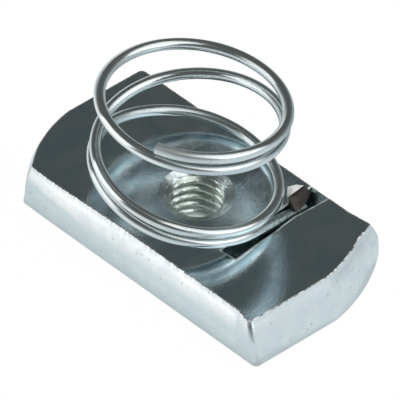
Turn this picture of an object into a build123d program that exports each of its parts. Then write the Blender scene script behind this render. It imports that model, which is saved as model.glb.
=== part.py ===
"""Strut spring nut: a blanked and tapped steel plate with a coil spring staked to its top face.

Millimetres. The origin is on the thread's axis at the underside, the face that clamps against the
lips of the channel. +X runs along the plate and +Z points to the spring, away from the lips.
"""

import os
from math import asin, atan, ceil, cos, degrees, hypot, pi, radians, sin, tan

from build123d import *

os.makedirs("parts", exist_ok=True)

# Plate: the outline is two straight long sides, two slightly skewed ends, and two opposite corners
# cut to an arc about the thread, so that the nut turns in the channel one way only.
plate_thickness = 5.5
plate_width = 18.6
swing_radius = 17.0
end_skew = 6.4  # degrees away from square
arc_start = 2.5  # degrees, where the straight end gives over to the arc
corner_radius = 0.9  # of the two corners that stay

# Blanking: the lower part is cut clean, the upper part breaks away and draws in towards the top.
clean_cut_height = 3.0
break_draw = 1.1
die_offset = (0.35, 0.1)  # the die stood this far off the punch
die_roll = 1.2

# Thread: an M6 hole at its minor diameter, lead-in cones at both ends.
bore_diameter = 5.0
top_cone_diameter = 7.2
top_cone_depth = 0.6
bottom_cone_diameter = 6.2
bottom_cone_depth = 0.5

# Grip grooves across the underside, one for each lip of the channel, with cross teeth in them.
groove_spacing = 25.2
groove_width = 3.6
groove_depth = 0.7
tooth_pitch = 1.5
tooth_height = 0.5

# Spring: left-handed round wire. Its route runs round a polygon of flats about the coil, with every
# corner rounded to the coil's radius. The coils lean, so each corner has a height of its own: in the
# first turn its rise over a wire that lies on the plate, and in a later turn its rise over a wire
# that lies on the turn below. The last row serves for any further turns.
wire_diameter = 1.1
coil_diameter = 17.3  # at the wire's axis
coil_center = (-1.1, -0.7)
coil_drift = (0.17, 0.16)  # sideways lean in each turn
spring_turns = 3.21
flats_per_turn = 8
first_turn_rises = [0.86, 2.48, 4.0, 3.85, 1.91, 0.67, -0.1, 0.73]
later_turn_rises = [
    [0.15, 0.24, -0.05, 0.4, 2.85, 4.88, 6.81, 7.19],
    [7.29, 6.76, 5.96, 5.02, 3.49, 1.98, 0.86, 0.6],
    [0.56, 0.38, -0.18, 0, 0.1, 0.2, 0.3, 0.3],
]

# Seat of the spring: its straight tail lies in a slot, pinched by one wall and held under a lug.
seat_gap = 0.05
tail_length = 7.2
slot_width = 1.8
slot_depth = 1.7
slot_lead = 3.0  # from the slot's front end to the point where the tail leaves the coil
pinch_length = 2.3
pinch_to_lug = 0.4
lug_cover = 1.6  # the length of tail under the lug
lug_rise = 1.0
# The lug's foot and crest, from the wire's axis at the lug's front end.
lug_foot = [(-0.45, 0), (0.55, 0), (0.6, 0.6), (0.2, 1.95), (-0.3, 2.9), (-2, 2.6), (-2.45, 1.75), (-1.7, 1)]
lug_crest = [
    (-0.6, 0), (-0.5, 0), (-0.3, 0.7), (-0.4, 1.6), (-0.55, 2.25), (-0.65, 2.2), (-0.65, 1.5), (-0.65, 0.6)
]

bore_radius = bore_diameter / 2
top_cone_angle = 2 * degrees(atan((top_cone_diameter / 2 - bore_radius) / top_cone_depth))
wire_radius = wire_diameter / 2
coil_radius = coil_diameter / 2
bend_radius = coil_radius * 0.95  # leaves a short straight run at the middle of each flat
tail_x = coil_center[0] + coil_radius
tail_start_y = coil_center[1]
tail_end = Vector(tail_x, tail_start_y + tail_length, plate_thickness - slot_depth + wire_radius + seat_gap)
lug_front_y = tail_end.Y - lug_cover


def corner_height(corner):
    """Return the height of the route at a corner, counted from the tail."""
    turn, place = divmod(corner, flats_per_turn)
    if turn == 0:
        return plate_thickness + wire_radius + first_turn_rises[place]
    rises = later_turn_rises[min(turn, len(later_turn_rises)) - 1]
    return corner_height(corner - flats_per_turn) + wire_diameter + rises[place]


def coil_point(flats, radius, height):
    """Return a point beside the coil's axis, a number of flats round from the tail."""
    turn = flats / flats_per_turn
    angle = radians(-360 * turn)
    x = coil_center[0] + coil_drift[0] * turn + radius * cos(angle)
    y = coil_center[1] + coil_drift[1] * turn + radius * sin(angle)
    return Vector(x, y, height)


def route_corner(corner):
    """Return a corner of the polygon about the coil."""
    return coil_point(corner + 0.5, coil_radius / cos(pi / flats_per_turn), corner_height(corner))


def flat_height(flat):
    """Return the height of the route at the middle of a flat."""
    return (corner_height(flat - 1) + corner_height(flat)) / 2


def tail_height(y):
    """Return the height of the tail's axis at y, on its straight run down to the slot's floor."""
    share = (tail_end.Y - y) / (tail_end.Y - route_corner(0).Y)
    return tail_end.Z + share * (route_corner(0).Z - tail_end.Z)


def plate_outline(inset):
    """Return the plate's outline, drawn in by inset on every side."""
    side = plate_width / 2 - inset
    radius = swing_radius - inset
    start = radians(arc_start)
    stop = asin(side / radius)
    middle = (start + stop) / 2
    arc_foot = (radius * cos(start), radius * sin(start))
    arc_tip = (radius * cos(stop), side)
    heel = (arc_foot[0] - tan(radians(end_skew)) * (arc_foot[1] + side), -side)
    arc_middle = (radius * cos(middle), radius * sin(middle))
    with BuildSketch() as outline:
        with BuildLine():
            for turn in (1, -1):
                points = [(turn * x, turn * y) for x, y in (heel, arc_foot, arc_middle, arc_tip)]
                Line(points[0], points[1])
                ThreePointArc(points[1], points[2], points[3])
                Line(points[3], (-turn * heel[0], -turn * heel[1]))
        make_face()
        heels = outline.vertices().sort_by(lambda corner: hypot(corner.X, corner.Y))[-2:]
        fillet(heels, corner_radius)
    return outline.sketch


with BuildPart() as nut_plate:
    # Clean-cut lower part with its rolled bottom edge, then the break that draws in to the top face.
    with BuildSketch(Plane((*die_offset, 0))):
        add(plate_outline(0))
    extrude(amount=clean_cut_height)
    fillet(nut_plate.faces().sort_by(Axis.Z)[0].edges(), die_roll)
    with BuildSketch(Plane((*die_offset, clean_cut_height))):
        add(plate_outline(0))
    with BuildSketch(Plane.XY.offset(plate_thickness)):
        add(plate_outline(break_draw))
    loft(ruled=True)

    # Grip grooves: rectangular channels whose floor is a row of cross teeth.
    tooth_count = ceil(plate_width / tooth_pitch) + 1
    for side in (-1, 1):
        groove_start = side * groove_spacing / 2 - groove_width / 2
        with BuildSketch(Plane.YZ.offset(groove_start)):
            Rectangle(plate_width * 1.2, groove_depth - tooth_height, align=(Align.CENTER, Align.MIN))
            with Locations((0, groove_depth - tooth_height)):
                with GridLocations(tooth_pitch, 1, tooth_count, 1):
                    Triangle(a=tooth_pitch, b=hypot(tooth_pitch / 2, tooth_height),
                             c=hypot(tooth_pitch / 2, tooth_height), align=(Align.CENTER, Align.MIN))
        extrude(amount=groove_width, mode=Mode.SUBTRACT)

    # Slot for the tail, open to the back, one wall pinched in against the wire.
    slot_front = tail_start_y - slot_lead
    slot_back = plate_width
    with BuildSketch(Plane.XY.offset(plate_thickness)):
        with Locations((tail_x, slot_front)):
            Rectangle(slot_width, slot_back - slot_front, align=(Align.CENTER, Align.MIN))
        with Locations((tail_x + wire_radius + seat_gap, lug_front_y - pinch_to_lug)):
            Rectangle(slot_width, pinch_length, align=(Align.MIN, Align.MAX), mode=Mode.SUBTRACT)
    extrude(amount=-slot_depth, mode=Mode.SUBTRACT)

    # Lug: a wedge of plate metal raised beside the slot and leaning over the wire.
    lug_floor = tail_height(lug_front_y) + wire_radius + seat_gap
    with BuildSketch(Plane((tail_x, lug_front_y, lug_floor))):
        Polygon(*lug_foot, align=None)
    with BuildSketch(Plane((tail_x, lug_front_y, plate_thickness + lug_rise))):
        Polygon(*lug_crest, align=None)
    loft(ruled=True)

    # Tapped hole with its two lead-in cones.
    with Locations((0, 0, plate_thickness)):
        CounterSinkHole(bore_radius, top_cone_diameter / 2, counter_sink_angle=top_cone_angle)
    bore_foot = nut_plate.edges().filter_by(GeomType.CIRCLE).group_by(Axis.Z)[0]
    chamfer(bore_foot, bottom_cone_depth, bottom_cone_diameter / 2 - bore_radius)

nut_plate.part.label = "nut_plate"
export_step(nut_plate.part, "parts/nut_plate.step")


with BuildPart() as spring:
    whole_flats = int(spring_turns * flats_per_turn)
    last_share = spring_turns * flats_per_turn - whole_flats
    corners = [route_corner(corner) for corner in range(whole_flats)]
    last_flat = coil_point(whole_flats, coil_radius, flat_height(whole_flats))
    tip_height = flat_height(whole_flats) + last_share * (flat_height(whole_flats + 1) - last_flat.Z)
    tip = coil_point(whole_flats + last_share, coil_radius, tip_height)
    with BuildLine() as wire_path:
        run = FilletPolyline(tail_end, *corners, last_flat, radius=bend_radius)
        TangentArc(run @ 1, tip, tangent=run % 1)
    with BuildSketch(Plane(origin=tail_end, z_dir=corners[0] - tail_end)):
        Circle(wire_radius)
    sweep(path=wire_path.line)

spring.part.label = "spring"
export_step(spring.part, "parts/spring.step")
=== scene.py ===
# %% [markdown]
# # A strut spring nut in a plain studio
#
# The object is a small channel nut: a blanked steel plate with a tapped hole, and a coil spring of
# round wire that is staked to its top face. Both are zinc plated. This notebook dresses the two CAD
# pieces: it makes the plate again with its torn edge, burrs and real thread, winds the spring from
# a smooth route, gives both a zinc finish, and puts them in soft light.
#
# The CAD frame comes first. It is fixed: every size below is either read from it or is one of the
# nut's own dimensions in millimetres.

# %% Load the fixed frame
from math import asin, cos, pi, radians, sin, tan

import bmesh
import bpy
from mathutils import Matrix, Vector, noise


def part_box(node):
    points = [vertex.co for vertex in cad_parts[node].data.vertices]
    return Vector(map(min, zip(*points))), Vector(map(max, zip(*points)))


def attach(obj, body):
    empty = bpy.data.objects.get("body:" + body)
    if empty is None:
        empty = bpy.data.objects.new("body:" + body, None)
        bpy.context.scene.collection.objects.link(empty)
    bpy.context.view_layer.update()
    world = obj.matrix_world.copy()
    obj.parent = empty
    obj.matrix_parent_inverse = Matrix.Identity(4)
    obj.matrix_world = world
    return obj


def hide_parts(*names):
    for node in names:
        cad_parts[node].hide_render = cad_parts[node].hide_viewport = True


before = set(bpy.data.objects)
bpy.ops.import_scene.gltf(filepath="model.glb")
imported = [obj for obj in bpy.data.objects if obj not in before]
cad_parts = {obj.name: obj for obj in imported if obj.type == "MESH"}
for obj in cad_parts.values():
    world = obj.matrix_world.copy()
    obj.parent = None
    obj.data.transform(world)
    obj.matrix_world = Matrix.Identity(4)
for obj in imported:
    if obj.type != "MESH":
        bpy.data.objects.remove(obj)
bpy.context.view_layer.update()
MM = 0.001
METRE = 1000.0
plate_low, plate_high = (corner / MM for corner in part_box("nut_plate"))
spring_low, spring_high = (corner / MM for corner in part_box("spring"))


def link_object(name, data):
    """Put a new object with some data in the scene."""
    made = bpy.data.objects.new(name, data)
    bpy.context.scene.collection.objects.link(made)
    return made


print("plate box in mm", plate_low, plate_high)
print("spring box in mm", spring_low, spring_high)

# %% [markdown]
# ## Camera
#
# A product picture of a small part is taken with a long lens, so that near and far edges keep almost
# the same scale. The camera stands off the nut's front right corner and looks down at about 45
# degrees. A real camera on a stand is seldom quite level, so it also gets a small roll.

# %% Camera
view_turn = radians(41.4)
view_drop = radians(45.4)
view_roll = radians(2.8)
aim = Vector((0.53, -0.12, 5.07)) * MM
distance = 681.5 * MM

turn = Matrix.Rotation(view_turn, 4, "Z") @ Matrix.Rotation(pi / 2 - view_drop, 4, "X")
stance = turn @ Matrix.Rotation(view_roll, 4, "Z")
camera_data = bpy.data.cameras.new("studio_camera")
camera_data.lens = 660.4
camera_data.sensor_width = 36
camera_data.clip_start = 0.05
camera = link_object("studio_camera", camera_data)
camera.matrix_world = Matrix.Translation(aim + stance.to_3x3() @ Vector((0, 0, distance))) @ stance
bpy.context.scene.camera = camera
bpy.context.scene.view_settings.view_transform = "Standard"
print("camera stands at", [round(value, 3) for value in camera.matrix_world.translation])

# %% [markdown]
# ## Node helpers
#
# Materials and Geometry Nodes are both trees of nodes. One helper adds a node and sets its values,
# and another starts a reusable group with named sockets. The rest are short names for the nodes
# that come back again and again: a sum, a blend, a mask and a noise.

# %% Helpers for node trees
def add_node(tree, kind, inputs=None, **settings):
    """Add a node, set its settings, and set or link its inputs by name or number."""
    node = tree.nodes.new(kind)
    for name, value in settings.items():
        setattr(node, name, value)
    for key, value in (inputs or {}).items():
        if isinstance(value, bpy.types.NodeSocket):
            tree.links.new(value, node.inputs[key])
        else:
            node.inputs[key].default_value = value
    return node


def new_group(name, inputs, outputs, kind="ShaderNodeTree"):
    """Start a node group. Inputs are (name, type, default) and outputs are (name, type)."""
    group = bpy.data.node_groups.new(name, kind)
    for label, socket, default in inputs:
        made = group.interface.new_socket(label, in_out="INPUT", socket_type="NodeSocket" + socket)
        if default is not None:
            made.default_value = default
    for label, socket in outputs:
        group.interface.new_socket(label, in_out="OUTPUT", socket_type="NodeSocket" + socket)
    start = group.nodes.new("NodeGroupInput")
    end = group.nodes.new("NodeGroupOutput")
    return group, start.outputs, end


def place_group(tree, group, inputs):
    """Place a node group in a material, set or link its inputs by name, and return its outputs."""
    return add_node(tree, "ShaderNodeGroup", inputs, node_tree=group).outputs


def empty_material(name):
    """Start a material with an empty node tree."""
    material = bpy.data.materials.new(name)
    material.use_nodes = True
    material.node_tree.nodes.clear()
    return material


print("sockets can be numbers, colours or links")

# %% Short names for common nodes
def compute(tree, operation, *values):
    """Return the result of a math node on one to three values."""
    return add_node(tree, "ShaderNodeMath", dict(enumerate(values)), operation=operation).outputs[0]


def vector_math(tree, operation, *values):
    """Return the result of a vector math node, which for a length or a dot product is a number."""
    node = add_node(tree, "ShaderNodeVectorMath", dict(enumerate(values)), operation=operation)
    return node.outputs["Value" if operation in ("LENGTH", "DOT_PRODUCT") else "Vector"]


def mix_colors(tree, share, first, second):
    """Return a colour between the first and the second, by a share from 0 to 1."""
    return add_node(tree, "ShaderNodeMix", {0: share, 6: first, 7: second}, data_type="RGBA").outputs[2]


def mix_values(tree, share, first, second):
    """Return a number between the first and the second, by a share from 0 to 1."""
    return add_node(tree, "ShaderNodeMix", {0: share, 2: first, 3: second}, data_type="FLOAT").outputs[0]


def mask_between(tree, value, start, full, low=0.0, high=1.0, kind="SMOOTHSTEP"):
    """Return a number that goes from low to high while the value goes from start to full."""
    limits = {"Value": value, "From Min": start, "From Max": full, "To Min": low, "To Max": high}
    return add_node(tree, "ShaderNodeMapRange", limits, interpolation_type=kind).outputs[0]


def noise_at(tree, place, scale, **values):
    """Return a noise of the given scale at a place."""
    return add_node(tree, "ShaderNodeTexNoise", {"Vector": place, "Scale": scale, **values}).outputs[0]


def mapped(tree, place, scale, turn=0.0):
    """Return a place that is turned about the upright axis and scaled."""
    values = {"Vector": place, "Rotation": (0, 0, turn), "Scale": scale}
    return add_node(tree, "ShaderNodeMapping", values).outputs[0]


def towards(tree, heading, direction, start, full):
    """Return a mask that grows from 0 to 1 as the heading turns towards a direction."""
    return mask_between(tree, vector_math(tree, "DOT_PRODUCT", heading, direction), start, full)


print("each short name adds one node and returns its result")

# %% [markdown]
# ## Floor, world and lamps
#
# Bright plated metal has hardly any colour of its own: it shows what stands around it. The studio is
# a pale floor, a bright horizon all round and a dim ceiling. The flat top of the nut mirrors the
# ceiling and looks dark, while its sides mirror the pale floor and look light.
#
# The camera sees the floor as plain white, mixed with a little of its lit surface, so that the soft shadow
# under the nut stays. Reflections see painted light and shade in its colour: a painted shade close to the
# nut, painted light in front and to the left, and a painted dark floor behind. Seen from below the floor is
# open, so that the underside can be looked at.

# %% Floor
floor_half = 3.0
floor_gap = 0.02 * MM
white = (1, 1, 1, 1)
to_back = (-0.22, 0.97, 0)
to_front_left = (-0.6, -0.8, 0)
plate_half = (plate_high - plate_low) / 2

floor_mesh = bpy.data.meshes.new("studio_floor")
floor_corners = [(x * floor_half, y * floor_half, 0) for x, y in ((-1, -1), (1, -1), (1, 1), (-1, 1))]
floor_mesh.from_pydata(floor_corners, [], [(0, 1, 2, 3)])
floor = link_object("studio_floor", floor_mesh)
floor.location.z = -floor_gap
print("floor", [round(size, 3) for size in floor.dimensions])

# %% The floor's colour in reflections
paper = empty_material("white_paper")
floor_mesh.materials.append(paper)
tree = paper.node_tree
spot = add_node(tree, "ShaderNodeTexCoord").outputs["Object"]
heading = vector_math(tree, "NORMALIZE", spot)
across = vector_math(tree, "ABSOLUTE", spot)
outside = vector_math(tree, "SUBTRACT", across, (plate_half.x * MM, plate_half.y * MM, 0))
clear = vector_math(tree, "LENGTH", vector_math(tree, "MAXIMUM", outside, (0, 0, 0)))

# Painted light and shade for reflections only: the floor is brighter in front and to the left, dark behind,
# and dimmed by a painted shade close to the nut.
lit_side = towards(tree, heading, to_front_left, 0.3, 0.9)
far_color = mix_colors(tree, lit_side, (0.68, 0.75, 0.79, 1), white)
distant = mask_between(tree, clear, 6 * MM, 18 * MM)
dark_back = compute(tree, "MULTIPLY", distant, towards(tree, heading, to_back, 0.60, 0.86))
far_color = mix_colors(tree, dark_back, far_color, (0.26, 0.30, 0.32, 1))
contact_shade = mask_between(tree, clear, 0.0, 1.6 * MM)
near_shade_color = mix_colors(tree, contact_shade, (0.54, 0.61, 0.63, 1), (0.68, 0.775, 0.80, 1))
floor_color = mix_colors(tree, mask_between(tree, clear, 2 * MM, 20 * MM), near_shade_color, far_color)
dim_back = towards(tree, heading, to_back, 0.3, 1.15)
mirrored = mix_colors(tree, dim_back, floor_color, (0.40, 0.46, 0.48, 1))
print("nodes for the floor's colour", len(tree.nodes))

# %% What the camera sees of the floor
rays = add_node(tree, "ShaderNodeLightPath").outputs
shown = mix_colors(tree, rays["Is Camera Ray"], mirrored, white)
seen = compute(tree, "MAXIMUM", rays["Is Camera Ray"], rays["Is Glossy Ray"])
seen = compute(tree, "MAXIMUM", seen, rays["Is Transmission Ray"])
under = vector_math(tree, "LENGTH", spot)
open_floor = mask_between(tree, under, 6 * MM, 8 * MM, 0.3, 0.985, "LINEAR")
share = compute(tree, "MULTIPLY", seen, open_floor)
lit = add_node(tree, "ShaderNodeBsdfDiffuse", {"Color": (0.82, 0.9, 0.87, 1)}).outputs[0]
plain = add_node(tree, "ShaderNodeEmission", {"Color": shown}).outputs[0]
paper_top = add_node(tree, "ShaderNodeMixShader", {0: share, 1: lit, 2: plain}).outputs[0]
from_below = add_node(tree, "ShaderNodeNewGeometry").outputs["Backfacing"]
open_below = add_node(tree, "ShaderNodeBsdfTransparent").outputs[0]
paper_sides = add_node(tree, "ShaderNodeMixShader", {0: from_below, 1: paper_top, 2: open_below})
add_node(tree, "ShaderNodeOutputMaterial", {"Surface": paper_sides.outputs[0]})
print("nodes of the paper", len(tree.nodes))

# %% World
world = bpy.data.worlds.new("studio_world")
bpy.context.scene.world = world
world.use_nodes = True
tree = world.node_tree
tree.nodes.clear()
heading = add_node(tree, "ShaderNodeTexCoord").outputs["Generated"]
rise = add_node(tree, "ShaderNodeSeparateXYZ", {0: heading}).outputs["Z"]
dark_back = towards(tree, heading, to_back, 0.60, 0.86)
horizon = mix_colors(tree, dark_back, (0.46, 0.52, 0.55, 1), (0.17, 0.19, 0.20, 1))
ceiling = mask_between(tree, rise, 0.05, 0.40)
room_color = mix_colors(tree, ceiling, horizon, (0.086, 0.091, 0.088, 1))
right_wall = towards(tree, heading, (0.93, 0.25, 0.26), 0.86, 0.94)
room_color = mix_colors(tree, right_wall, room_color, (0.68, 0.75, 0.78, 1))
left_gap = towards(tree, heading, (-0.84, 0.54, 0.0), 0.955, 0.985)
mirrored = mix_colors(tree, left_gap, room_color, (0.95, 0.96, 0.96, 1))
rays = add_node(tree, "ShaderNodeLightPath").outputs
color = mix_colors(tree, rays["Is Glossy Ray"], (0.8, 0.8, 0.8, 1), mirrored)
room = add_node(tree, "ShaderNodeBackground", {"Color": color}).outputs[0]
backdrop = add_node(tree, "ShaderNodeBackground", {"Color": white}).outputs[0]
choice = add_node(tree, "ShaderNodeMixShader", {0: rays["Is Camera Ray"], 1: room, 2: backdrop})
add_node(tree, "ShaderNodeOutputWorld", {"Surface": choice.outputs[0]})
print("nodes of the world", len(tree.nodes))

# %% Lamps
lamp_distance = 0.5
lamp_radiance = 1.15


def soft_box(name, heading, rise, width):
    """Hang a square soft box that faces the nut, by its heading and rise in degrees."""
    level = cos(radians(rise))
    direction = Vector((level * cos(radians(heading)), level * sin(radians(heading)), sin(radians(rise))))
    data = bpy.data.lights.new(name, "AREA")
    data.size = width
    data.energy = lamp_radiance * pi * width ** 2
    lamp = link_object(name, data)
    lamp.location = direction * lamp_distance
    lamp.rotation_euler = direction.to_track_quat("Z", "Y").to_euler()


soft_box("left_box", 226, 23, 0.46)
soft_box("right_box", 22, 48, 0.56)
print("lamps", bpy.data.lights.keys())

# %% [markdown]
# ## Finishes
#
# Zinc plating over steel is bright but never even: it has pale and dull clouds a few millimetres
# wide, a fine pebble grain with drawn scratches, dark flecks, and smears from handling. The same
# effects are on every surface of the nut in different amounts, so each one is a node group with
# named inputs, placed in every material with its own values. Painted images could show the same
# marks, but they would blur up close and tie the finish to one shape. Principled BSDF stays outside
# the groups, where its constants are set on its own sockets.
# Some of the plate's materials also carry painted light and shade: the slot's dark walls with pale glints,
# the rim's highlight, the glints on the stained burr, and lit and shaded copies of the lug's metal.

# %% Node group: clouds of plating tone and painted light
def make_plating_and_light_clouds():
    """Make clouds between a bright and a dull colour, with a roughness that follows them. They are plating
    tone, or painted light and shade where the given colours stand for it.
    """
    group, given, result = new_group(
        "plating_and_light_clouds",
        [("Place", "Vector", None), ("Cloud Size", "Float", 2.0),
         ("Bright", "Color", (0.8, 0.82, 0.82, 1)), ("Dull", "Color", (0.6, 0.65, 0.68, 1)),
         ("Smooth", "Float", 0.15), ("Rough", "Float", 0.35)],
        [("Color", "Color"), ("Roughness", "Float")])
    scale = compute(group, "DIVIDE", METRE, given["Cloud Size"])
    clouds = noise_at(group, given["Place"], scale, Detail=5.0, Roughness=0.6, Distortion=0.4)
    spread = mask_between(group, clouds, 0.36, 0.66)
    tint = mix_colors(group, spread, given["Bright"], given["Dull"])
    sheen = mask_between(group, spread, 0.0, 1.0, given["Smooth"], given["Rough"], "LINEAR")
    group.links.new(tint, result.inputs["Color"])
    group.links.new(sheen, result.inputs["Roughness"])
    return group


plating_and_light_clouds = make_plating_and_light_clouds()
print("nodes of", plating_and_light_clouds.name, len(plating_and_light_clouds.nodes))

# %% Node group: pebble grain
wipe_turn = radians(35)


def make_pebble_grain():
    """Make the height of a fine and a coarse grain, and of patches of drawn scratches."""
    group, given, result = new_group(
        "pebble_grain",
        [("Place", "Vector", None), ("Fine Size", "Float", 0.25), ("Coarse Size", "Float", 1.5),
         ("Coarse Share", "Float", 0.5), ("Scratch Size", "Float", 5.0),
         ("Scratch Share", "Float", 0.0)],
        [("Height", "Float")])
    place = given["Place"]
    fine_scale = compute(group, "DIVIDE", METRE, given["Fine Size"])
    coarse_scale = compute(group, "DIVIDE", METRE, given["Coarse Size"])
    fine = noise_at(group, place, fine_scale, Detail=3.0, Roughness=0.55)
    coarse = noise_at(group, place, coarse_scale, Detail=2.0, Roughness=0.5)
    grain = mix_values(group, given["Coarse Share"], fine, coarse)
    patch_scale = compute(group, "DIVIDE", METRE, given["Scratch Size"])
    patches = noise_at(group, place, patch_scale, Detail=2.0, Roughness=0.5)
    patch = mask_between(group, patches, 0.42, 0.6)
    drawn = mapped(group, place, (1.2, 0.7, 1.0), wipe_turn)
    scratches = noise_at(group, drawn, fine_scale, Detail=2.0, Roughness=0.6)
    cut = compute(group, "MULTIPLY", patch, scratches)
    height = compute(group, "MULTIPLY_ADD", cut, given["Scratch Share"], grain)
    group.links.new(height, result.inputs["Height"])
    return group


pebble_grain = make_pebble_grain()
print("nodes of", pebble_grain.name, len(pebble_grain.nodes))

# %% Node group: flecks and painted glints
def make_flecks_and_glints():
    """Make ragged flecks, of which only a share of the cells has one, over a given colour. Darker flecks are
    marks, and pale ones are painted glints.
    """
    group, given, result = new_group(
        "flecks_and_glints",
        [("Place", "Vector", None), ("Fleck Size", "Float", 0.4), ("Share", "Float", 0.05),
         ("Color", "Color", (0.8, 0.8, 0.8, 1)), ("Fleck Color", "Color", (0.2, 0.17, 0.15, 1))],
        [("Color", "Color")])
    scale = compute(group, "DIVIDE", METRE, given["Fleck Size"])
    grown = add_node(group, "ShaderNodeVectorMath", {0: given["Place"], "Scale": scale},
                     operation="SCALE").outputs[0]
    frayed = add_node(group, "ShaderNodeTexNoise", {"Vector": grown, "Scale": 1.6, "Detail": 3.0})
    ragged = vector_math(group, "MULTIPLY_ADD", frayed.outputs["Color"], (1.3, 1.3, 1.3), grown)
    cells = add_node(group, "ShaderNodeTexVoronoi", {"Vector": ragged, "Scale": 1.0}).outputs
    chance = add_node(group, "ShaderNodeSeparateColor", {0: cells["Color"]}).outputs
    chosen = compute(group, "LESS_THAN", chance[0], given["Share"])
    strength = compute(group, "MULTIPLY", mask_between(group, cells["Distance"], 0.6, 0.1), chance[1])
    mask = compute(group, "MULTIPLY", chosen, strength)
    tint = mix_colors(group, mask, given["Color"], given["Fleck Color"])
    group.links.new(tint, result.inputs["Color"])
    return group


flecks_and_glints = make_flecks_and_glints()
print("nodes of", flecks_and_glints.name, len(flecks_and_glints.nodes))

# %% Node group: handling smears
def make_handling_smears():
    """Make wiped smears within reach of the hole: less metal and more roughness where they lie."""
    group, given, result = new_group(
        "handling_smears",
        [("Place", "Vector", None), ("Smear Size", "Float", 4.0), ("Share", "Float", 0.3),
         ("Haze", "Float", 0.2), ("Reach", "Float", 8.0), ("Roughness", "Float", 0.2)],
        [("Metal", "Float"), ("Roughness", "Float")])
    scale = compute(group, "DIVIDE", METRE, given["Smear Size"])
    wiped = mapped(group, given["Place"], (1.0, 0.45, 1.0), wipe_turn)
    patches = noise_at(group, wiped, scale, Detail=2.0, Roughness=0.5, Distortion=0.8)
    start = compute(group, "SUBTRACT", 0.72, given["Share"])
    patch = mask_between(group, patches, start, compute(group, "ADD", start, 0.18))
    grain_scale = compute(group, "MULTIPLY", scale, 14.0)
    grains = noise_at(group, given["Place"], grain_scale, Detail=3.0, Roughness=0.7)
    grain = mask_between(group, grains, 0.35, 0.7, kind="LINEAR")
    from_hole = compute(group, "MULTIPLY", vector_math(group, "LENGTH", given["Place"]), METRE)
    clean_from = compute(group, "MULTIPLY", given["Reach"], 1.5)
    handled = mask_between(group, from_hole, clean_from, given["Reach"])
    smear = compute(group, "MULTIPLY", compute(group, "MULTIPLY", patch, grain), handled)
    haze = compute(group, "MULTIPLY", smear, given["Haze"])
    rough = compute(group, "MULTIPLY_ADD", haze, 0.7, given["Roughness"])
    group.links.new(compute(group, "SUBTRACT", 1.0, haze), result.inputs["Metal"])
    group.links.new(rough, result.inputs["Roughness"])
    return group


handling_smears = make_handling_smears()
print("nodes of", handling_smears.name, len(handling_smears.nodes))

# %% A zinc finish
def bumped(tree, height, depth):
    """Return the normal of a bumped surface, from a height and its depth in millimetres."""
    return add_node(tree, "ShaderNodeBump", {"Height": height, "Distance": depth * MM}).outputs[0]


def zinc_material(name, clouds, grain, depth, flecks=None, smears=None, metallic=1.0):
    """Make a zinc finish on the piece's own coordinates. The grain's depth is in millimetres."""
    material = empty_material(name)
    tree = material.node_tree
    place = add_node(tree, "ShaderNodeTexCoord").outputs["Object"]
    coat = place_group(tree, plating_and_light_clouds, {**clouds, "Place": place})
    pebble = place_group(tree, pebble_grain, {**grain, "Place": place})
    color = coat["Color"]
    if flecks:
        color = place_group(tree, flecks_and_glints, {**flecks, "Place": place, "Color": color})["Color"]
    metal = add_node(tree, "ShaderNodeBsdfPrincipled", {
        "Base Color": color, "Roughness": coat["Roughness"], "Metallic": metallic,
        "Normal": bumped(tree, pebble["Height"], depth)})
    if smears:
        worn = place_group(tree, handling_smears, {**smears, "Place": place, "Roughness": coat["Roughness"]})
        tree.links.new(worn["Metal"], metal.inputs["Metallic"])
        tree.links.new(worn["Roughness"], metal.inputs["Roughness"])
    add_node(tree, "ShaderNodeOutputMaterial", {"Surface": metal.outputs[0]})
    return material


def clouded(size, bright, dull, smooth, rough):
    """Return the cloud values of a finish. Its colours are (red, green, blue)."""
    return {"Cloud Size": size, "Bright": (*bright, 1), "Dull": (*dull, 1), "Smooth": smooth, "Rough": rough}


def grained(fine_size, coarse_size, coarse_share, **scratches):
    """Return the grain values of a finish."""
    return {"Fine Size": fine_size, "Coarse Size": coarse_size, "Coarse Share": coarse_share, **scratches}


print("grain values", list(grained(0.2, 1.0, 0.5)))
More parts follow.
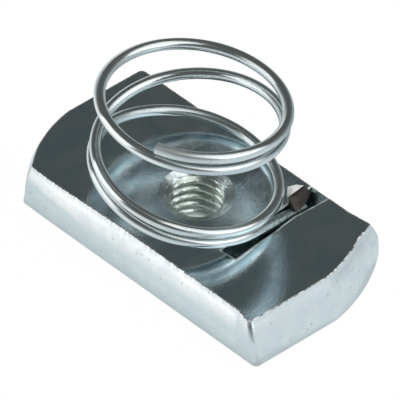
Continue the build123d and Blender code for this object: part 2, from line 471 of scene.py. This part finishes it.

# %% Zinc finishes of the plate, with its painted light and shade
burr_grain = grained(0.15, 0.5, 0.5)
finishes_and_painted_light = {
    "face": zinc_material(
        "zinc_face", clouded(3.0, (0.70, 0.82, 0.85), (0.54, 0.68, 0.76), 0.06, 0.15),
        grained(0.22, 4.0, 0.45, **{"Scratch Size": 6.0, "Scratch Share": 0.6}), 0.02,
        smears={"Smear Size": 3.0, "Share": 0.3, "Haze": 0.2, "Reach": 8.0}),
    "side": zinc_material(
        "zinc_side", clouded(1.4, (0.85, 0.875, 0.875), (0.78, 0.82, 0.84), 0.20, 0.32),
        grained(0.22, 1.2, 0.5), 0.014,
        flecks={"Fleck Size": 0.3, "Share": 0.03, "Fleck Color": (0.5, 0.44, 0.38, 1)}),
    "burr": zinc_material(
        "zinc_burr", clouded(0.35, (0.93, 0.93, 0.92), (0.40, 0.38, 0.36), 0.25, 0.5), burr_grain, 0.03),
    # Right end burr: a brown stain, with pale clouds of plain colour that are painted glints.
    "stain_and_glint": zinc_material(
        "stained_burr_painted_glints", clouded(0.7, (1.0, 1.0, 0.99), (0.12, 0.10, 0.09), 0.25, 0.5), burr_grain, 0.03,
        metallic=0.2),
    "worn": zinc_material(
        "worn_corner", clouded(0.9, (0.86, 0.86, 0.85), (0.70, 0.685, 0.66), 0.25, 0.4),
        grained(0.2, 0.8, 0.5), 0.02),
    "thread": zinc_material(
        "zinc_thread", clouded(1.0, (0.86, 0.92, 0.87), (0.70, 0.77, 0.72), 0.14, 0.30),
        grained(0.15, 0.8, 0.5), 0.02),
    "lip": zinc_material(
        "hole_lip", clouded(1.0, (0.84, 0.90, 0.90), (0.60, 0.68, 0.70), 0.12, 0.3),
        grained(0.2, 1.0, 0.5), 0.04),
    # Painted shade: the slot's walls and floor are the plate's zinc, coloured dark because they lie in the
    # recess, and its pale flecks are painted glints.
    "slot": zinc_material(
        "slot_wall_painted_shade", clouded(1.2, (0.26, 0.35, 0.36), (0.12, 0.17, 0.18), 0.25, 0.4),
        grained(0.2, 0.8, 0.5), 0.03,
        flecks={"Fleck Size": 0.45, "Share": 0.04, "Fleck Color": (0.9, 0.95, 0.93, 1)}),
    # The rolled rim catches real reflections, and its pale clouds, half plain colour, add a painted
    # highlight along it.
    "rim": zinc_material(
        "slot_rim_painted_highlight", clouded(2.2, (0.80, 0.86, 0.87), (0.16, 0.20, 0.21), 0.3, 0.5), burr_grain, 0.02,
        metallic=0.5),
    # Lit and shaded copies of the lug's torn metal: a nearly plain white as painted light, and a near black
    # as painted shade.
    "torn": zinc_material(
        "torn_painted_lit", clouded(0.8, (1.0, 0.97, 0.96), (0.93, 0.89, 0.88), 0.3, 0.45),
        grained(0.2, 0.9, 0.6), 0.015, metallic=0.1),
    "steep": zinc_material(
        "torn_painted_shade", clouded(0.8, (0.06, 0.05, 0.045), (0.04, 0.034, 0.03), 0.4, 0.5),
        grained(0.2, 0.9, 0.6), 0.02, metallic=0.6),
}
print("finishes", list(finishes_and_painted_light))

# %% [markdown]
# ## Plate blank
#
# The plate is blanked from strip. The punch leaves four bands on the edge: a rolled lower rim, a
# clean burnished cut, a torn break that draws in towards the top, and a thin ragged burr round the
# top face. A bevel on a solid block would give none of them, so one outline rule serves every band:
# it is drawn at many heights, each time drawn in a little more, and the rings are joined like a
# ladder. Noise moves only the torn points.
#
# The break isn't even all round. It slides left along the front, loses metal at the front left tip,
# stays wide at the back right tip, and is pulled forward at the front right heel.

# %% Plate dimensions, in millimetres
thickness = 5.5
plate_width = 18.6
swing_radius = 17.0
end_skew = radians(6.4)
arc_start = radians(2.5)
corner_radius = 0.55
die_roll = 1.2
break_start = 2.0
break_draw = 1.1
break_height = thickness - break_start
die_offset = Vector((0.35, 0.1))
point_spacing = 0.12
print("break height in mm", break_height)

# %% The outline rule
def run_between(start, end, count):
    """Return points from start up to, but not including, end."""
    return [start.lerp(end, step / count) for step in range(count)]


def arc_about(center, radius, first, last, count):
    """Return points round an arc from the first angle up to, but not including, the last."""
    angles = [first + (last - first) * step / count for step in range(count)]
    return [center + radius * Vector((cos(angle), sin(angle))) for angle in angles]


arc_span = radians(31)
side_span = 1.75 * swing_radius
corner_count = 8
end_count = round(plate_width / 2 / point_spacing)
arc_count = round(swing_radius * arc_span / point_spacing)
side_count = round(side_span / point_spacing)
tip_index = corner_count + end_count + arc_count
heel_index = corner_count // 2
ring_count = 2 * (tip_index + side_count)


def plate_ring(inset):
    """Return the plate's outline, drawn in by inset. Every ring has the same number of points."""
    side = plate_width / 2 - inset
    radius = swing_radius - inset
    stop = asin(side / radius)
    foot = radius * Vector((cos(arc_start), sin(arc_start)))
    tip = radius * Vector((cos(stop), sin(stop)))
    heel = Vector((foot.x - tan(end_skew) * (foot.y + side), -side))
    bend = pi / 2 - end_skew
    setback = corner_radius * tan(bend / 2)
    center = heel + Vector((-setback, corner_radius))
    corner_end = center + corner_radius * Vector((cos(end_skew), -sin(end_skew)))
    half = arc_about(center, corner_radius, -pi / 2, -end_skew, corner_count)
    half += run_between(corner_end, foot, end_count)
    half += arc_about(Vector((0, 0)), radius, arc_start, stop, arc_count)
    half += run_between(tip, Vector((setback - heel.x, side)), side_count)
    return half + [-point for point in half]


print("points in a ring", len(plate_ring(0)), "as counted", ring_count)

# %% Torn skin
torn_grain = 0.16
lift_grain = 0.25
lift_share = 0.6
calm_share = 0.25


def torn(x, y, z, size, depth):
    """Return a sideways shift for a torn surface, from noise of the given grain size."""
    place = Vector((x, y, z * 0.6)) / size
    return depth * (noise.noise(place) + 0.5 * noise.noise(place * 2.3 + Vector((7, 3, 1))))


def ramp(value, start, full):
    """Return a smooth step from 0 at start to 1 at full."""
    share = min(1, max(0, (value - start) / (full - start)))
    return share * share * (3 - 2 * share)


print("a torn shift", round(torn(1, 2, 3, torn_grain, 0.09), 4), "a ramp", ramp(1, 0, 4))

# %% Uneven break, in millimetres
loss_reach = 3.5
loss_depth = 0.5
loss_span = 7.5
front_from, front_full = 3, 8
slide_full = 14
tip_slide = 0.4
heel_pull = 0.5
heel_reach = 1.8
heel_way = Vector((-0.34, -0.94))
back_push = 0.5
back_reach = 2.0
front_ease = 0.2
ease_height = 3.5
tip_angle = asin(plate_width / 2 / swing_radius)
to_back_tip = Vector((cos(tip_angle), sin(tip_angle)))
drawn_ring = plate_ring(break_draw)


def near(point, target, reach):
    """Return 1 at the target, falling to 0 at its reach."""
    return max(0, 1 - (point - target).length / reach)


def uneven_draw(point, inset, height):
    """Return how far a point of the break misses the even draw. It never passes the clean cut."""
    drawn = inset if height > break_start else 0
    front = ramp(-point.y, front_from, front_full)
    loss = loss_depth * sin(pi * height / loss_span) * near(point, -swing_radius * to_back_tip, loss_reach)
    push = min(drawn, back_push * near(point, drawn_ring[tip_index], back_reach))
    slide = min(drawn, tip_slide * front * ramp(-point.x, 0, slide_full))
    pull = min(drawn, heel_pull * near(point, drawn_ring[heel_index], heel_reach))
    ease = front_ease * front * max(0, 1 - height / ease_height)
    along_arc = Vector((to_back_tip.y, -to_back_tip.x))
    return to_back_tip * (loss + push) + along_arc * slide + heel_way * pull + Vector((0, ease))


print("draw missed at the back tip", uneven_draw(drawn_ring[tip_index], break_draw, thickness))

# %% Bands of the blanked edge
roll_steps = 6
break_steps = 14
cut_depth = 0.01
burr_depth = 0.09
burr_height = 0.01
burr_inner, burr_foot, face_edge = -0.04, 0.1, 0.2


def plate_rings():
    """Return the plate's rings, underside first, as (height, inset, depth of noise, finish)."""
    bands = []
    for step in range(roll_steps + 1):
        angle = pi / 2 * step / roll_steps
        bands.append((die_roll * (1 - cos(angle)), die_roll * (1 - sin(angle)), 0, "side"))
    bands.append(((die_roll + break_start) / 2, 0, cut_depth, "side"))
    for step in range(break_steps):
        share = step / break_steps
        bands.append((break_start + break_height * share, break_draw * share ** 2, cut_depth, "side"))
    bands.append((thickness + burr_height, break_draw + burr_inner, burr_depth, "side"))
    bands.append((thickness, break_draw + burr_foot, burr_depth, "burr"))
    bands.append((thickness, break_draw + face_edge, 0.0, "face"))
    return bands


rings = plate_rings()
print("rings", len(rings), "from", rings[0][0], "to", rings[-1][0])

# %% Joining rings
finish_slots = {name: index for index, name in enumerate(finishes_and_painted_light)}


def bridge(shell, lower, upper, finish):
    """Join two rings with quads that face out. The finish is a name, or a rule that picks one."""
    count = len(lower)
    for index in range(count):
        after = (index + 1) % count
        face = shell.faces.new((lower[index], lower[after], upper[after], upper[index]))
        chosen = finish(index, lower[index].co / MM) if callable(finish) else finish
        face.material_index = finish_slots[chosen]


def stack(shell, levels, ends):
    """Join rings into a closed shell, lowest first.

    Each level is a ring's places in metres and the finish of the band below it. The ends are the
    finishes of the lowest and the highest face.
    """
    previous = None
    for places, finish in levels:
        ring = [shell.verts.new(place) for place in places]
        if previous:
            bridge(shell, previous, ring, finish)
        else:
            shell.faces.new(list(reversed(ring))).material_index = finish_slots[ends[0]]
        previous = ring
    shell.faces.new(previous).material_index = finish_slots[ends[1]]


print("finish slots", finish_slots)

# %% Where the plate is stained with painted glints, or worn
stain_and_glint_from = 14.4
worn_arc = 5
worn_height = 2.9
worn_slope = 3
worn_wander = 3
worn_grain = 1.5


def plate_finish(finish):
    """Return a rule: the burr at the right end is stained and carries painted glints, and two corners of the
    side are worn.
    """
    tip = ring_count // 2 + tip_index

    def pick(index, place):
        """Return the finish at a place, by its number in the ring."""
        if finish == "burr" and place.x > stain_and_glint_from:
            return "stain_and_glint"
        from_heel = abs((index - heel_index + ring_count // 2) % ring_count - ring_count // 2)
        wander = worn_wander * noise.noise(place * worn_grain)
        at_tip = tip - worn_arc + wander <= index <= tip
        at_heel = from_heel < worn_slope * (worn_height - place.z) + wander
        return "worn" if finish == "side" and (at_tip or at_heel) else finish
    return pick


print("plain side stays", plate_finish("side")(0, Vector((0, 0, thickness))))

# %% Build the blank
def blank_ring(height, inset, depth):
    """Return the places of one ring in metres, with its noise, uneven draw and the die's offset."""
    share = min(1, max(0, (thickness - height) / break_height))
    outline = plate_ring(inset)
    places = []
    for index, point in enumerate(outline):
        outward = -(outline[(index + 1) % len(outline)] - outline[index - 1]).orthogonal().normalized()
        ragged = depth if point.y < 0 and abs(outward.x) < 0.5 else depth * calm_share
        shift = torn(point.x, point.y, height, torn_grain, ragged) if depth else 0
        lift = 0
        if height > thickness:
            lift = lift_share * ragged * noise.noise(Vector((point.x, point.y, 3)) / lift_grain)
        place = point + outward * min(shift, inset) + uneven_draw(point, inset, height) + die_offset * share
        places.append((max(place.x, plate_low.x) * MM, place.y * MM, (height + lift) * MM))
    return places


blank = bmesh.new()
bands = [(blank_ring(height, inset, depth), plate_finish(finish)) for height, inset, depth, finish in rings]
stack(blank, bands, ("face", "face"))
print("blank faces", len(blank.faces), "volume mm3", round(blank.calc_volume() * 1e9))

# %% [markdown]
# ## Cutters
#
# A tapped hole is a radius that changes with height and angle: along the thread it swings between
# the minor and the major diameter once per pitch, and the two cones win where they are wider. That
# is one formula, so the cutter for hole, thread and cones is a single round shell. The thread runs
# out just above the underside.
#
# The slot for the spring's tail is a prism with a rolled rim at its mouth. Its right wall is pinched
# in against the wire, and behind the pinch it flares. Each grip groove is a channel whose floor is a
# row of teeth. Booleans cut all of them at once and carry each cutter's finish into the plate.

# %% Thread cutter
minor_diameter = 5.0
major_diameter = 6.05
pitch = 1.0
thread_runout = (0.1, 0.7)
crest_end = 0.75
flank_span = 0.625
top_cone_diameter = 7.2
top_cone_depth = 0.6
bottom_cone_diameter = 5.3
bottom_cone_depth = 0.15
cone_overshoot = 0.1
bore_overshoot = 0.4


def thread_radius(angle, height):
    """Return the radius of the tapped hole at an angle and height."""
    phase = (height / pitch - angle / (2 * pi)) % 1
    tooth = min(1, max(0, (crest_end - abs(2 * phase - 1)) / flank_span)) * ramp(height, *thread_runout)
    threaded = (minor_diameter + (major_diameter - minor_diameter) * tooth) / 2
    top_slope = (top_cone_diameter - minor_diameter) / 2 / top_cone_depth
    top_radius = top_cone_diameter / 2 + min(height - thickness, cone_overshoot) * top_slope
    bottom_slope = (bottom_cone_diameter - minor_diameter) / 2 / bottom_cone_depth
    bottom_radius = bottom_cone_diameter / 2 - max(height, -cone_overshoot) * bottom_slope
    return max(threaded, top_radius, bottom_radius)


def thread_levels(around=120, step=1 / 14):
    """Return the levels of the shell that bores, taps and chamfers the hole."""
    levels = []
    for level in range(int((thickness + 2 * bore_overshoot) / step) + 1):
        height = -bore_overshoot + level * step
        ring = []
        for index in range(around):
            angle = 2 * pi * index / around
            radius = thread_radius(angle, height)
            ring.append((radius * cos(angle) * MM, radius * sin(angle) * MM, height * MM))
        levels.append((ring, "lip" if height > thickness - top_cone_depth else "thread"))
    return levels


cutters = bmesh.new()
stack(cutters, thread_levels(), ("thread", "lip"))
print("thread cutter faces", len(cutters.faces))

# %% Spring seat dimensions, in millimetres
wire_diameter = 1.1
wire_radius = wire_diameter / 2
coil_radius = 17.3 / 2
coil_center = Vector((-1.1, -0.7))
seat_gap = 0.05
tail_x = coil_center.x + coil_radius
tail_length = 7.2
slot_width = 1.8
slot_depth = 1.7
slot_reach = 3.0
slot_flare = 0.55
slot_overshoot = 0.1
rim_depth = 0.06
rim_roll = 0.2
mouth_pinch = 0.05
lug_cover = 1.6
pinch_gap = 0.4
pinch_length = 2.3

floor_height = thickness - slot_depth
tail_end = Vector((tail_x, coil_center.y + tail_length, floor_height + wire_radius + seat_gap))
slot_front = coil_center.y - slot_reach
slot_back = plate_width / 2 - break_draw + slot_overshoot
lug_front = tail_end.y - lug_cover
pinch_back = lug_front - pinch_gap
pinch_front = pinch_back - pinch_length
full_pinch = slot_width / 2 - wire_radius - seat_gap
print("tail ends at", tail_end, "full pinch", round(full_pinch, 3))

# %% Slot cutter
def slot_outline(grow, height, back, pinch):
    """Return the slot's outline in metres, grown sideways for its mouth, with a pinched right wall."""
    left = tail_x - wire_radius - seat_gap - grow
    pocket = tail_x - slot_width / 2 - grow
    right = tail_x + slot_width / 2 + grow
    pinched = right - pinch
    front = slot_front - grow
    flare = slot_flare * (back - pinch_back) / (slot_back - pinch_back)
    points = [(left, back), (left, 0.4), (pocket, 0), (pocket, front + 0.1), (pocket + 0.1, front - 0.05),
              (right - 0.25, front + 0.1), (right - 0.15, front + 0.2), (right, pinch_front),
              (pinched, pinch_front + 0.25), (pinched, pinch_back - 0.1), (right, pinch_back),
              (right + flare, back)]
    return [Vector((x, y, height)) * MM for x, y in points]


# The walls and floor take the slot's painted shade, and the rolled mouth takes the rim's painted highlight.
slot_levels = [
    (slot_outline(0, floor_height, tail_end.y + 0.2, full_pinch), "slot"),
    (slot_outline(0, thickness - rim_depth, slot_back, mouth_pinch), "slot"),
    (slot_outline(rim_roll, thickness, slot_back + rim_roll, mouth_pinch), "rim"),
    (slot_outline(rim_roll, thickness + 1, slot_back + rim_roll, mouth_pinch), "slot"),
]
stack(cutters, slot_levels, ("slot", "slot"))
print("slot and thread cutter faces", len(cutters.faces))

# %% Groove cutters
groove_spacing = 25.2
groove_width = 3.6
groove_depth = 0.7
groove_overshoot = 0.5
tooth_pitch = 1.5
tooth_height = 0.5


def groove_outline(x):
    """Return the groove's section across the plate at x, in metres: flat below, teeth above."""
    count = int(plate_width / tooth_pitch / 2) + 2
    points = [(count * tooth_pitch, -groove_overshoot)]
    for tooth in range(count, -count, -1):
        points.append((tooth * tooth_pitch, groove_depth - tooth_height))
        points.append(((tooth - 0.5) * tooth_pitch, groove_depth))
    points.append((-count * tooth_pitch, groove_depth - tooth_height))
    points.append((-count * tooth_pitch, -groove_overshoot))
    return [Vector((x, y, z)) * MM for y, z in points]


for side in (-1, 1):
    walls = [(side * groove_spacing + way * groove_width) / 2 for way in (-1, 1)]
    stack(cutters, [(groove_outline(wall), "side") for wall in walls], ("side", "side"))
bmesh.ops.recalc_face_normals(cutters, faces=cutters.faces)
print("cutter faces", len(cutters.faces), "volume mm3", round(cutters.calc_volume() * 1e9))

# %% [markdown]
# ## Lug
#
# The tail is held under a lug: a chisel blow has thrown up a wedge of plate metal beside the slot and folded
# it over the wire. It rises gently from the left as a ramp and ends in a torn, steep lip above the wire. The
# ramp and the rest of the lug are painted bright as lit metal, and the faces that turn to the right or to
# the front are painted dark as shade. It is lofted from a foot to a crest, and noise tears its skin. Both
# outlines are counted from the wire's line and the lug's front, so the lug follows the seat.

# %% Lug
lug_rise = 1.0
lug_sink = 0.12
crest_drop = 0.06
lug_swell = 0.9
skin_grain = 0.7
skin_depth = 0.06
steep_side = -0.05
steep_front = -0.75
lug_foot = [(-0.45, 0), (0.55, 0), (0.6, 0.6), (0.2, 1.95), (-0.3, 2.9), (-2, 2.6), (-2.45, 1.75), (-1.7, 1)]
lug_crest = [
    (-0.6, 0), (-0.5, 0), (-0.3, 0.7), (-0.4, 1.6), (-0.55, 2.25), (-0.65, 2.2), (-0.65, 1.5), (-0.65, 0.6)
]


def closed_curve(points, per_side):
    """Return points along straight sides between the corners, the same number on each side."""
    corners = [Vector(point) for point in points]
    found = []
    for start, end in zip(corners, corners[1:] + corners[:1]):
        found += run_between(start, end, per_side)
    return found


def lug_levels(count=10, per_side=6):
    """Return the levels of the loft from the lug's foot to its crest."""
    foot = closed_curve(lug_foot, per_side)
    crest = closed_curve(lug_crest, per_side)
    bottom = thickness - lug_sink
    levels = []
    for level in range(count + 1):
        share = level / count
        height = bottom + (thickness + lug_rise - crest_drop - bottom) * share
        ring = []
        for low, high in zip(foot, crest):
            point = low.lerp(high, share ** lug_swell)
            place = Vector((tail_x + point.x, lug_front + point.y, height))
            wander = noise.noise_vector(place / skin_grain) * skin_depth * share * (1.2 - share)
            ring.append((place + wander) * MM)
        levels.append((ring, "torn"))
    return levels


lug = bmesh.new()
stack(lug, lug_levels(), ("torn", "torn"))
bmesh.ops.recalc_face_normals(lug, faces=lug.faces)
# Painted shade: faces that turn to the right or to the front take the dark copy, and the rest keep the
# painted light.
for face in lug.faces:
    if face.normal.x > steep_side or face.normal.y < steep_front:
        face.material_index = finish_slots["steep"]
print("lug volume mm3", round(lug.calc_volume() * 1e9, 2))

# %% Cut the blank and add the lug
def made_mesh(shaped):
    """Return a plain mesh of an object with all its modifiers applied."""
    graph = bpy.context.evaluated_depsgraph_get()
    return bpy.data.meshes.new_from_object(shaped.evaluated_get(graph))


def object_from(shell, name):
    """Turn a shell into a linked object that carries all the plate's materials: the zinc finishes and the
    painted light and shade.
    """
    mesh = bpy.data.meshes.new(name)
    shell.to_mesh(mesh)
    shell.free()
    for material in finishes_and_painted_light.values():
        mesh.materials.append(material)
    return link_object(name, mesh)


plate = object_from(blank, "dressed_plate")
tools = {"DIFFERENCE": object_from(cutters, "plate_cutters"), "UNION": object_from(lug, "plate_lug")}
for operation, tool in tools.items():
    step = plate.modifiers.new(tool.name, "BOOLEAN")
    step.operation = operation
    step.solver = "EXACT"
    step.material_mode = "TRANSFER"
    step.object = tool

bpy.context.view_layer.update()
finished = made_mesh(plate)
plate.modifiers.clear()
plate.data = finished
for tool in tools.values():
    bpy.data.objects.remove(tool)
print("plate faces", len(finished.polygons), "materials", len(finished.materials))

# %% Smooth the bands, keep the corners
flat_area = 2 * MM ** 2
finished.shade_smooth()
finished.set_sharp_from_angle(angle=radians(32))
flat_faces = [polygon for polygon in finished.polygons if polygon.area > flat_area]
for polygon in flat_faces:
    polygon.use_smooth = False
print("flat faces", len(flat_faces))
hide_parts("nut_plate")
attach(plate, "root")

# %% [markdown]
# ## Spring
#
# The spring is one length of drawn wire: a straight tail in the slot and a little over three turns
# that lean to the back. Its centre line goes round a polygon of eight flats to the turn. A Bezier
# point stands at the middle of each flat, and its handles lie along the flat, so the line touches
# every flat and rounds every corner as a coiling machine does. A plain helix would be shorter to
# write, but the turns of this spring lean and rise unevenly, so each corner gets a height of its
# own: on the first turn its rise above the plate, and later its rise above the turn below.

# %% Turns of the spring, in millimetres
coil_drift = Vector((0.17, 0.16))
flats_per_turn = 8
spring_turns = 3.198
first_turn_rises = [0.86, 2.48, 4.0, 3.85, 1.91, 0.67, -0.1, 0.73]
later_turn_rises = [
    [0.15, 0.24, -0.05, 0.4, 2.85, 4.88, 6.81, 7.19],
    [7.29, 6.76, 5.96, 5.02, 3.49, 1.98, 0.86, 0.6],
    [0.56, 0.38, -0.18, 0, 0.1, 0.2, 0.3, 0.3],
]
print("flats in all", spring_turns * flats_per_turn)

# %% Corners of the route
def corner_height(corner):
    """Return the height of the route at a corner, counted from the tail."""
    turn_number, place = divmod(corner, flats_per_turn)
    if turn_number == 0:
        return thickness + wire_radius + first_turn_rises[place]
    rises = later_turn_rises[min(turn_number, len(later_turn_rises)) - 1]
    return corner_height(corner - flats_per_turn) + wire_diameter + rises[place]


def coil_point(flats, radius, height):
    """Return a point beside the coil's axis, a number of flats round from the tail."""
    turns = flats / flats_per_turn
    center = coil_center + coil_drift * turns
    angle = -2 * pi * turns
    return Vector((center.x + radius * cos(angle), center.y + radius * sin(angle), height))


corner_reach = coil_radius / cos(pi / flats_per_turn)
whole_flats = int(spring_turns * flats_per_turn) + 1
top_height = spring_high.z - wire_radius
corners = [coil_point(index + 0.5, corner_reach, min(corner_height(index), top_height))
           for index in range(whole_flats + 1)]
print("corners", len(corners), "highest in mm", round(max(corner.z for corner in corners), 2))

# %% Route of the wire
handle_share = 0.64
tail_handles = (-0.1, 0.3)
touches = [tail_end.lerp(corners[0], (tail_end.y - coil_center.y) / (tail_end.y - corners[0].y))]
touches += [(corners[index] + corners[index + 1]) / 2 for index in range(whole_flats)]

route = bpy.data.curves.new("spring_route", "CURVE")
route.dimensions = "3D"
route.resolution_u = 24
line = route.splines.new("BEZIER")
line.bezier_points.add(len(touches))
first_knot, *knots = line.bezier_points
first_knot.co = tail_end * MM
first_knot.handle_left = tail_end.lerp(touches[0], tail_handles[0]) * MM
first_knot.handle_right = tail_end.lerp(touches[0], tail_handles[1]) * MM
for knot, touch, before, after in zip(knots, touches, [tail_end] + corners, corners):
    knot.co = touch * MM
    knot.handle_left = touch.lerp(before, handle_share) * MM
    knot.handle_right = touch.lerp(after, handle_share) * MM
print("route points", len(line.bezier_points))

# %% [markdown]
# ## Wire
#
# Geometry Nodes sweep the wire's round section along the route, at an even step, and cut it off
# square where the turns end. A bevel on the curve would give the same tube, but the nodes also keep
# where on the wire each point lies: across the section, and along the length. The finish needs that
# place, because drawing leaves streaks that follow the wire round every turn.

# %% Geometry Nodes that wind the wire
def capture(group, geometry, kind, label, value):
    """Keep a value on a geometry's points. Return the geometry and the kept value."""
    node = add_node(group, "GeometryNodeCaptureAttribute", {"Geometry": geometry})
    node.capture_items.new(kind, label)
    group.links.new(value, node.inputs[label])
    return node.outputs[0], node.outputs[label]


def make_wire_winder():
    """Make the nodes that trim a route, sweep the wire along it and store each point's place."""
    group, given, result = new_group(
        "wire_winder",
        [("Route", "Geometry", None), ("Wire Diameter", "Float", 0.001), ("Sides", "Int", 24),
         ("Step", "Float", 0.0004), ("Cut Short", "Float", 0.0), ("Finish", "Material", None)],
        [("Wire", "Geometry")], "GeometryNodeTree")
    length = add_node(group, "GeometryNodeCurveLength", {"Curve": given["Route"]}).outputs[0]
    trimmed = add_node(group, "GeometryNodeTrimCurve", {"Curve": given["Route"]}, mode="LENGTH")
    ends = [socket for socket in trimmed.inputs if socket.enabled and socket.type == "VALUE"]
    group.links.new(compute(group, "SUBTRACT", length, given["Cut Short"]), ends[1])
    even = add_node(group, "GeometryNodeResampleCurve",
                    {"Curve": trimmed.outputs[0], "Length": given["Step"]}, mode="LENGTH")
    step_length = add_node(group, "GeometryNodeSplineParameter").outputs["Length"]
    path, along = capture(group, even.outputs[0], "FLOAT", "Along", step_length)
    radius = compute(group, "MULTIPLY", given["Wire Diameter"], 0.5)
    circle = add_node(group, "GeometryNodeCurvePrimitiveCircle",
                      {"Resolution": given["Sides"], "Radius": radius})
    point = add_node(group, "GeometryNodeInputPosition").outputs[0]
    section, around = capture(group, circle.outputs[0], "VECTOR", "Around", point)
    swept = add_node(group, "GeometryNodeCurveToMesh",
                     {"Curve": path, "Profile Curve": section, "Fill Caps": True})
    parts = add_node(group, "ShaderNodeSeparateXYZ", {0: around}).outputs
    unrolled = add_node(group, "ShaderNodeCombineXYZ", {0: parts[0], 1: parts[1], 2: along})
    stored = add_node(group, "GeometryNodeStoreNamedAttribute",
                      {"Geometry": swept.outputs[0], "Name": "wire_place", "Value": unrolled.outputs[0]},
                      data_type="FLOAT_VECTOR", domain="POINT")
    real = add_node(group, "GeometryNodeRealizeInstances", {"Geometry": stored.outputs[0]})
    coated = add_node(group, "GeometryNodeSetMaterial",
                      {"Geometry": real.outputs[0], "Material": given["Finish"]})
    group.links.new(coated.outputs[0], result.inputs["Wire"])
    return group


wire_winder = make_wire_winder()
sockets = {item.name: item.identifier for item in wire_winder.interface.items_tree if item.in_out == "INPUT"}
print("winder inputs", list(sockets))

# %% Drawn-wire finish
streak_stretch = 0.06
fleck_stretch = 0.5
tail_tint_span = (8.0 * MM, 4.0 * MM)
tip_scuff = 8.0 * MM
tip_roughness = 0.3


def wire_material(tip_at):
    """Make the wire's finish: streaks along its unrolled length, pale and dark teal clouds of colour and
    roughness on the tail, and more roughness at the cut tip.
    """
    material = empty_material("drawn_wire")
    tree = material.node_tree
    place = add_node(tree, "ShaderNodeAttribute", attribute_name="wire_place").outputs["Vector"]
    drawn = mapped(tree, place, (1, 1, streak_stretch))
    pitted = mapped(tree, place, (1, 1, fleck_stretch))
    streaks = clouded(0.35, (0.78, 0.81, 0.80), (0.66, 0.71, 0.72), 0.14, 0.28)
    coat = place_group(tree, plating_and_light_clouds, {**streaks, "Place": drawn})
    flecked = place_group(tree, flecks_and_glints, {
        "Place": pitted, "Fleck Size": 0.25, "Share": 0.03, "Color": coat["Color"],
        "Fleck Color": (0.3, 0.31, 0.31, 1)})["Color"]
    pebble = place_group(tree, pebble_grain, {**grained(0.15, 0.5, 0.4), "Place": drawn})
    tail_clouds = clouded(0.5, (0.72, 0.86, 0.86), (0.22, 0.28, 0.28), 0.3, 0.45)
    tail_coat = place_group(tree, plating_and_light_clouds, {**tail_clouds, "Place": place})
    length = add_node(tree, "ShaderNodeSeparateXYZ", {0: place}).outputs[2]
    tail = mask_between(tree, length, *tail_tint_span)
    color = mix_colors(tree, tail, flecked, tail_coat["Color"])
    rough = mix_values(tree, tail, coat["Roughness"], tail_coat["Roughness"])
    tip = mask_between(tree, length, tip_at - tip_scuff, tip_at, high=tip_roughness)
    metal = add_node(tree, "ShaderNodeBsdfPrincipled", {
        "Base Color": color, "Roughness": compute(tree, "ADD", rough, tip), "Metallic": 1.0,
        "Normal": bumped(tree, pebble["Height"], 0.01)})
    add_node(tree, "ShaderNodeOutputMaterial", {"Surface": metal.outputs[0]})
    return material


cut_short = (whole_flats - spring_turns * flats_per_turn) * coil_radius * (2 * pi / flats_per_turn) * MM
wire_length = line.calc_length() - cut_short
drawn_wire = wire_material(wire_length)
print("wire length in mm", round(wire_length / MM, 1))

# %% Wind the spring
wire_sides = 40
wire_step = 0.25 * MM
winding_values = {"Wire Diameter": wire_diameter * MM, "Sides": wire_sides, "Step": wire_step,
                  "Cut Short": cut_short, "Finish": drawn_wire}

spring = link_object("dressed_spring", route)
winding = spring.modifiers.new("winding", "NODES")
winding.node_group = wire_winder
for name, value in winding_values.items():
    winding[sockets[name]] = value

wound = made_mesh(spring)
bpy.data.objects.remove(spring)
spring = link_object("dressed_spring", wound)
wound.shade_smooth()
wound.set_sharp_from_angle(angle=radians(50))
print("spring faces", len(wound.polygons), "wire places kept", "wire_place" in wound.attributes)
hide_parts("spring")
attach(spring, "root")
